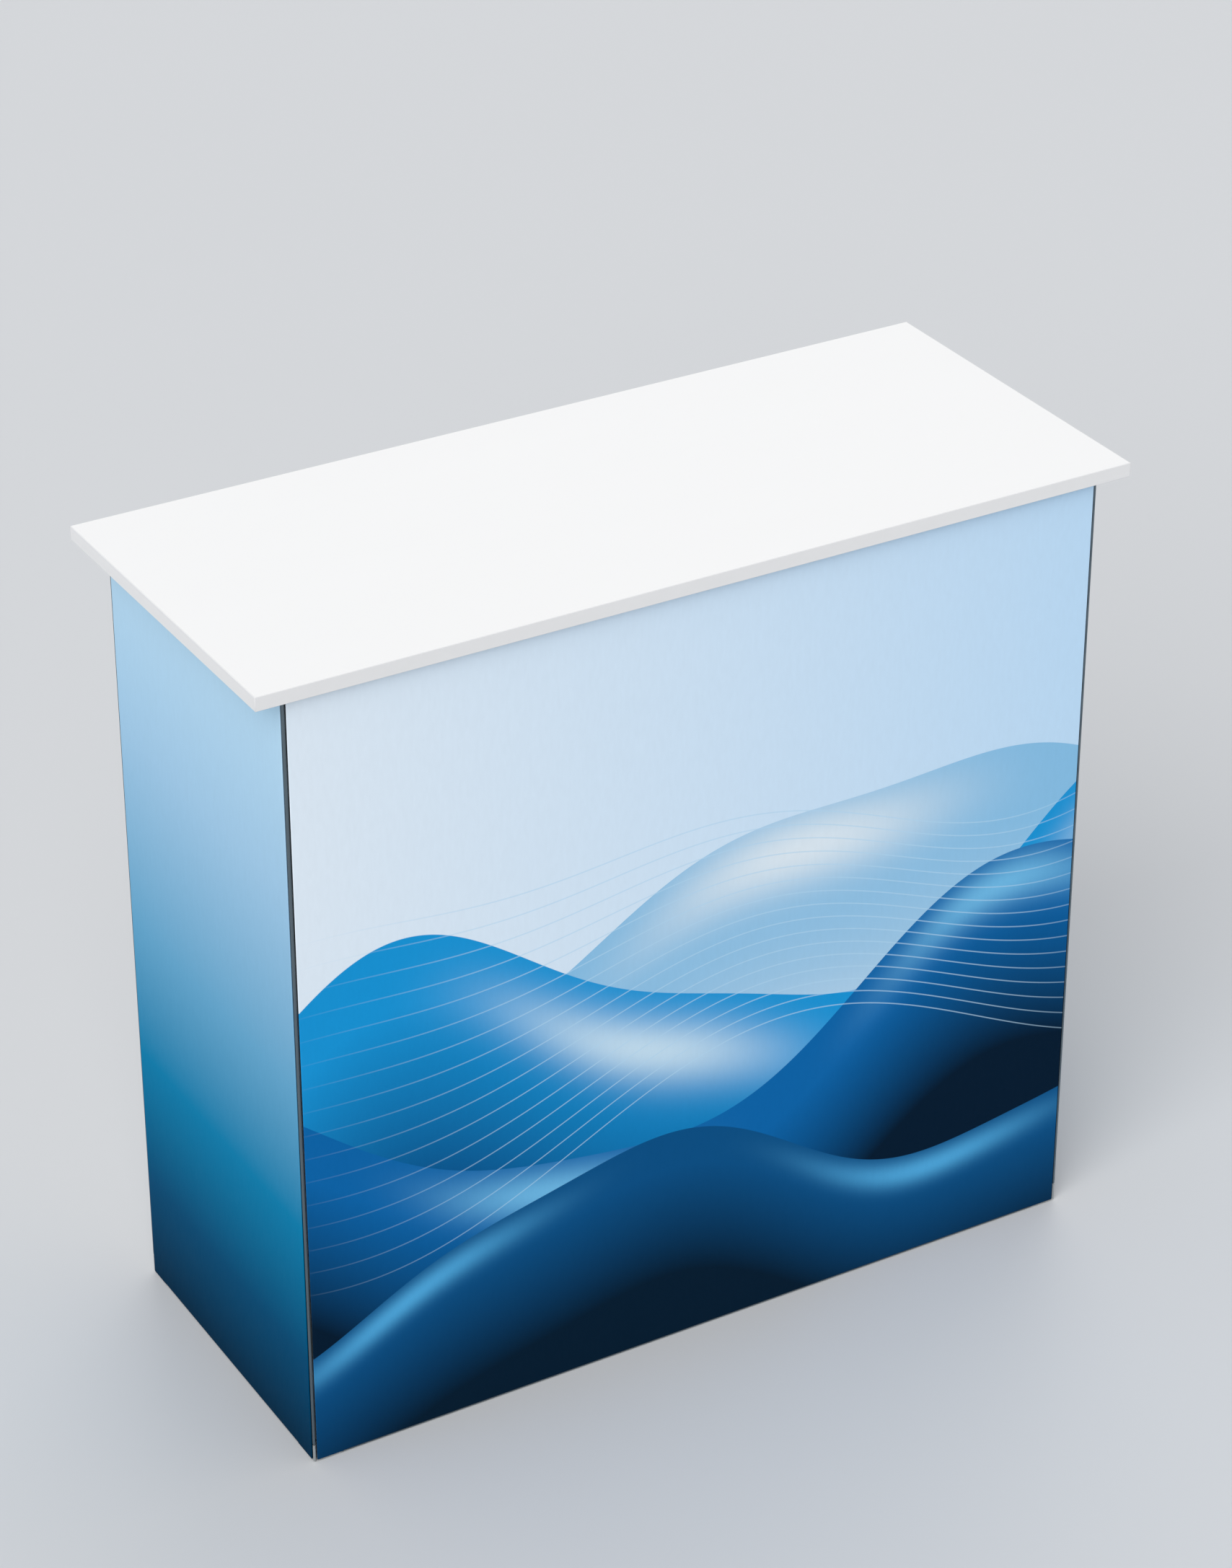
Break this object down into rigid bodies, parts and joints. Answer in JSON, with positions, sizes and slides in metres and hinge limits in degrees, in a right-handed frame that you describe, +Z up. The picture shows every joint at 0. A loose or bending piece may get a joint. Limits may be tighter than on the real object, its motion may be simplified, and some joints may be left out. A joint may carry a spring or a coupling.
{
  "type": "exhibition counter",
  "caption": "Free-standing exhibition counter: fabric faces on an aluminium frame, a laminate worktop, and a cupboard with hinged doors behind.",
  "frame": {"origin": "on the floor, under the middle of the worktop", "axes": "+X runs along the front to the right as seen by the visitor, -Y is the way the printed front looks, +Z is up"},
  "size_m": [1.092, 0.454, 1],
  "materials": {
    "worktop_laminate": "wood-based board faced with satin white laminate",
    "edge_band": "satin white edge banding",
    "white_board": "wood-based board faced with fine-grained white melamine",
    "anodised_aluminium": "satin natural anodised extrusion",
    "cast_grey": "satin grey casting",
    "front_print": "tensioned knitted polyester, printed in pale to deep blue",
    "side_print": "tensioned knitted polyester, printed with a pale to navy gradient",
    "zinc_steel": "zinc-plated steel",
    "satin_steel": "satin stainless steel",
    "nickel": "polished nickel plate",
    "dark_nylon": "moulded black nylon"
  },
  "bodies": {
    "counter": {"worktop_board": "worktop_laminate", "edge_band_front": "edge_band", "edge_band_rear": "edge_band", "edge_band_left": "edge_band", "edge_band_right": "edge_band", "corner_post_front_left": "anodised_aluminium", "corner_post_front_right": "anodised_aluminium", "corner_post_rear_right": "anodised_aluminium", "corner_post_rear_left": "anodised_aluminium", "foot_cap_front_left": "cast_grey", "foot_cap_front_right": "cast_grey", "foot_cap_rear_right": "cast_grey", "foot_cap_rear_left": "cast_grey", "bottom_rail_front": "anodised_aluminium", "bottom_rail_right": "anodised_aluminium", "bottom_rail_left": "anodised_aluminium", "bottom_rail_rear": "anodised_aluminium", "top_rail_front": "anodised_aluminium", "top_rail_right": "anodised_aluminium", "top_rail_left": "anodised_aluminium", "top_rail_rear": "anodised_aluminium", "door_stop_strip": "anodised_aluminium", "graphic_front": "front_print", "graphic_right": "side_print", "graphic_left": "side_print", "shelf_rail_right": "anodised_aluminium", "shelf_rail_left": "anodised_aluminium", "base_board": "white_board", "shelf": "white_board", "worktop_bracket_front_left": "zinc_steel", "worktop_bracket_front_right": "zinc_steel", "worktop_bracket_rear_left": "zinc_steel", "worktop_bracket_rear_right": "zinc_steel", "hinge_post_leaf_left_lower": "zinc_steel", "hinge_post_leaf_left_upper": "zinc_steel", "hinge_post_leaf_right_lower": "zinc_steel", "hinge_post_leaf_right_upper": "zinc_steel", "hinge_pin_left_lower": "zinc_steel", "hinge_pin_left_upper": "zinc_steel", "hinge_pin_right_lower": "zinc_steel", "hinge_pin_right_upper": "zinc_steel"},
    "door_left": {"door_left": "white_board", "door_handle_left": "satin_steel", "lock_housing_left": "nickel", "hinge_door_leaf_left_lower": "zinc_steel", "hinge_door_leaf_left_upper": "zinc_steel"},
    "door_right": {"door_right": "white_board", "door_handle_right": "satin_steel", "lock_housing_right": "nickel", "hinge_door_leaf_right_lower": "zinc_steel", "hinge_door_leaf_right_upper": "zinc_steel"},
    "lock_left": {"lock_core_left": "nickel", "lock_cam_left": "zinc_steel"},
    "lock_right": {"lock_core_right": "nickel", "lock_cam_right": "zinc_steel"},
    "foot_front_left": {"levelling_foot_front_left": "dark_nylon"},
    "foot_front_right": {"levelling_foot_front_right": "dark_nylon"},
    "foot_rear_left": {"levelling_foot_rear_left": "dark_nylon"},
    "foot_rear_right": {"levelling_foot_rear_right": "dark_nylon"}
  },
  "joints": [
    {"name": "door_left_swing", "type": "hinge", "parent": "counter", "child": "door_left", "pos_m": [-0.4711, 0.2039, 0.49225], "axis": [0, 0, 1], "range_deg": [0, 110]},
    {"name": "door_right_swing", "type": "hinge", "parent": "counter", "child": "door_right", "pos_m": [0.4711, 0.2039, 0.49225], "axis": [0, 0, -1], "range_deg": [0, 110]},
    {"name": "lock_left_turn", "type": "hinge", "parent": "door_left", "child": "lock_left", "pos_m": [-0.0415, 0.1915, 0.909], "axis": [0, 1, 0], "range_deg": [0, 90]},
    {"name": "lock_right_turn", "type": "hinge", "parent": "door_right", "child": "lock_right", "pos_m": [0.0415, 0.1915, 0.909], "axis": [0, -1, 0], "range_deg": [0, 90]},
    {"name": "foot_front_left_height", "type": "slide", "parent": "counter", "child": "foot_front_left", "axis": [0, 0, -1], "range_m": [0, 0.01]},
    {"name": "foot_front_right_height", "type": "slide", "parent": "counter", "child": "foot_front_right", "axis": [0, 0, -1], "range_m": [0, 0.01]},
    {"name": "foot_rear_left_height", "type": "slide", "parent": "counter", "child": "foot_rear_left", "axis": [0, 0, -1], "range_m": [0, 0.01]},
    {"name": "foot_rear_right_height", "type": "slide", "parent": "counter", "child": "foot_rear_right", "axis": [0, 0, -1], "range_m": [0, 0.01]}
  ]
}
